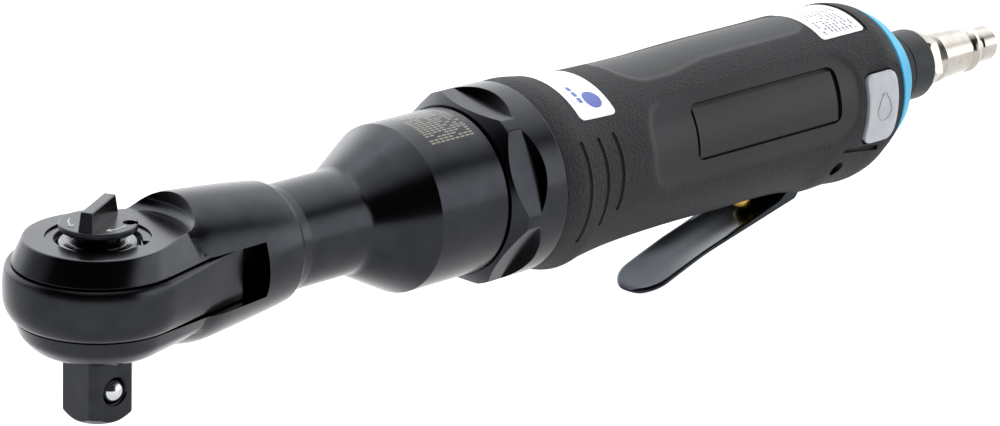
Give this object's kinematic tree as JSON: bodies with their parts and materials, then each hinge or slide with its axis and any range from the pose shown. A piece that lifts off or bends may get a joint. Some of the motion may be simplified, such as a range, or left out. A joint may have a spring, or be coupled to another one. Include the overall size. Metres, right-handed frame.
{
  "type": "air ratchet",
  "caption": "Pneumatic ratchet wrench: slim forged head with square drive and reverse knob, tapered gear case, clamp ring, grained grip, throttle lever and air nipple.",
  "frame": {"origin": "centre of the end face of the square drive, on the axis that the drive turns on", "axes": "+X along the tool from the drive to the air inlet, +Z from the drive end up through the head to the reverse knob, +Y completes the frame; the tool axis lies 30.6 mm above the origin, parallel to X"},
  "size_m": [0.3434, 0.0484, 0.0652],
  "materials": {
    "blackened_steel": "satin",
    "bright_steel": "polished",
    "ground_steel": "ground",
    "spring_steel": "drawn wire",
    "cast_aluminium": "cast",
    "brass": "turned",
    "nickel_plate": "bright nickel",
    "black_composite": "fine leather grain",
    "black_rubber": "matt",
    "grey_rubber": "matt",
    "blue_acetal": "satin",
    "vane_resin": "laminated",
    "grey_felt": "pressed felt",
    "steel_mesh": "woven",
    "label_film": "film"
  },
  "bodies": {
    "body": {"head_housing": "blackened_steel", "lower_thrust_washer": "ground_steel", "upper_thrust_washer": "ground_steel", "anvil_retaining_ring": "spring_steel", "crank_needle_bearing": "bright_steel", "crank_ball_bearing": "bright_steel", "ring_gear": "ground_steel", "gear_spacer": "ground_steel", "clamp_ring": "blackened_steel", "front_end_plate": "ground_steel", "front_bearing": "bright_steel", "motor_cylinder": "ground_steel", "cylinder_dowel": "ground_steel", "rear_end_plate": "ground_steel", "rear_bearing": "bright_steel", "motor_housing": "cast_aluminium", "grip_sleeve": "black_composite", "front_label": "label_film", "rear_label": "label_film", "oil_port_plug": "grey_rubber", "lever_pin": "ground_steel", "valve_stem_seal": "black_rubber", "valve_bushing": "brass", "valve_spring": "spring_steel", "exhaust_deflector": "blue_acetal", "muffler_felt": "grey_felt", "inlet_bushing": "blackened_steel", "inlet_screen": "steel_mesh", "nipple_seal": "black_rubber", "inlet_nipple": "nickel_plate"},
    "anvil": {"drive_anvil": "blackened_steel", "pawl_pin": "ground_steel", "socket_ball_spring": "spring_steel"},
    "socket_ball": {"socket_ball": "bright_steel"},
    "knob": {"reverse_knob": "blackened_steel", "knob_plunger_spring": "spring_steel"},
    "plunger": {"knob_plunger": "ground_steel"},
    "pawl": {"ratchet_pawl": "ground_steel"},
    "yoke": {"ratchet_yoke": "blackened_steel"},
    "crank": {"crankshaft": "ground_steel", "planet_pin_1": "ground_steel", "planet_pin_2": "ground_steel", "planet_pin_3": "ground_steel", "drive_bushing": "ground_steel"},
    "planet_1": {"planet_gear_1": "ground_steel"},
    "planet_2": {"planet_gear_2": "ground_steel"},
    "planet_3": {"planet_gear_3": "ground_steel"},
    "rotor": {"rotor": "ground_steel", "sun_pinion": "ground_steel", "rotor_vane_1": "vane_resin", "rotor_vane_2": "vane_resin", "rotor_vane_3": "vane_resin", "rotor_vane_4": "vane_resin", "rotor_vane_5": "vane_resin"},
    "lever": {"throttle_lever": "blackened_steel"},
    "valve": {"valve_stem": "brass", "valve_ball": "bright_steel"}
  },
  "joints": [
    {"name": "rotor_spin", "type": "hinge", "parent": "body", "child": "rotor", "pos_m": [0, 0, 0.0306], "axis": [1, 0, 0], "continuous": true},
    {"name": "crank_spin", "type": "hinge", "parent": "body", "child": "crank", "pos_m": [0, 0, 0.0306], "axis": [1, 0, 0], "continuous": true},
    {"name": "planet_spin_1", "type": "hinge", "parent": "crank", "child": "planet_1", "pos_m": [0, 0, 0.0396], "axis": [1, 0, 0], "continuous": true},
    {"name": "planet_spin_2", "type": "hinge", "parent": "crank", "child": "planet_2", "pos_m": [0, -0.00779, 0.0261], "axis": [1, 0, 0], "continuous": true},
    {"name": "planet_spin_3", "type": "hinge", "parent": "crank", "child": "planet_3", "pos_m": [0, 0.00779, 0.0261], "axis": [1, 0, 0], "continuous": true},
    {"name": "yoke_swing", "type": "hinge", "parent": "body", "child": "yoke", "pos_m": [0, 0, 0.0306], "axis": [0, 0, 1], "range_deg": [-4.8, 4.8]},
    {"name": "anvil_spin", "type": "hinge", "parent": "body", "child": "anvil", "pos_m": [0, 0, 0.0306], "axis": [0, 0, 1], "continuous": true},
    {"name": "knob_turn", "type": "hinge", "parent": "anvil", "child": "knob", "pos_m": [0, 0, 0.0306], "axis": [0, 0, 1], "range_deg": [-60, 0]},
    {"name": "pawl_tilt", "type": "hinge", "parent": "anvil", "child": "pawl", "pos_m": [-0.009, 0, 0.0306], "axis": [0, 0, 1], "range_deg": [0, 10]},
    {"name": "plunger_slide", "type": "slide", "parent": "knob", "child": "plunger", "axis": [0.866, 0.5, 0], "range_m": [0, 0.0003], "stiffness_N_per_m": 1500, "springref_m": -0.0005},
    {"name": "socket_ball_slide", "type": "slide", "parent": "anvil", "child": "socket_ball", "axis": [0, 1, 0], "range_m": [0, 0.00095], "stiffness_N_per_m": 2000, "springref_m": -0.001},
    {"name": "lever_press", "type": "hinge", "parent": "body", "child": "lever", "pos_m": [0.2367, 0, 0.0149], "axis": [0, 1, 0], "range_deg": [0, 12], "stiffness_Nm_per_rad": 0.35, "springref_deg": -9.74},
    {"name": "valve_lift", "type": "slide", "parent": "body", "child": "valve", "axis": [0, 0, 1], "range_m": [0, 0.0036], "deforming": ["valve_spring"]}
  ],
  "couplings": [
    {"joint": "crank_spin", "follows": "rotor_spin", "ratio": 0.25},
    {"joint": "planet_spin_1", "follows": "rotor_spin", "ratio": -0.75},
    {"joint": "planet_spin_2", "follows": "rotor_spin", "ratio": -0.75},
    {"joint": "planet_spin_3", "follows": "rotor_spin", "ratio": -0.75},
    {"joint": "pawl_tilt", "follows": "knob_turn", "ratio": -0.16667},
    {"joint": "valve_lift", "follows": "lever_press", "m_per_rad": 0.017}
  ]
}
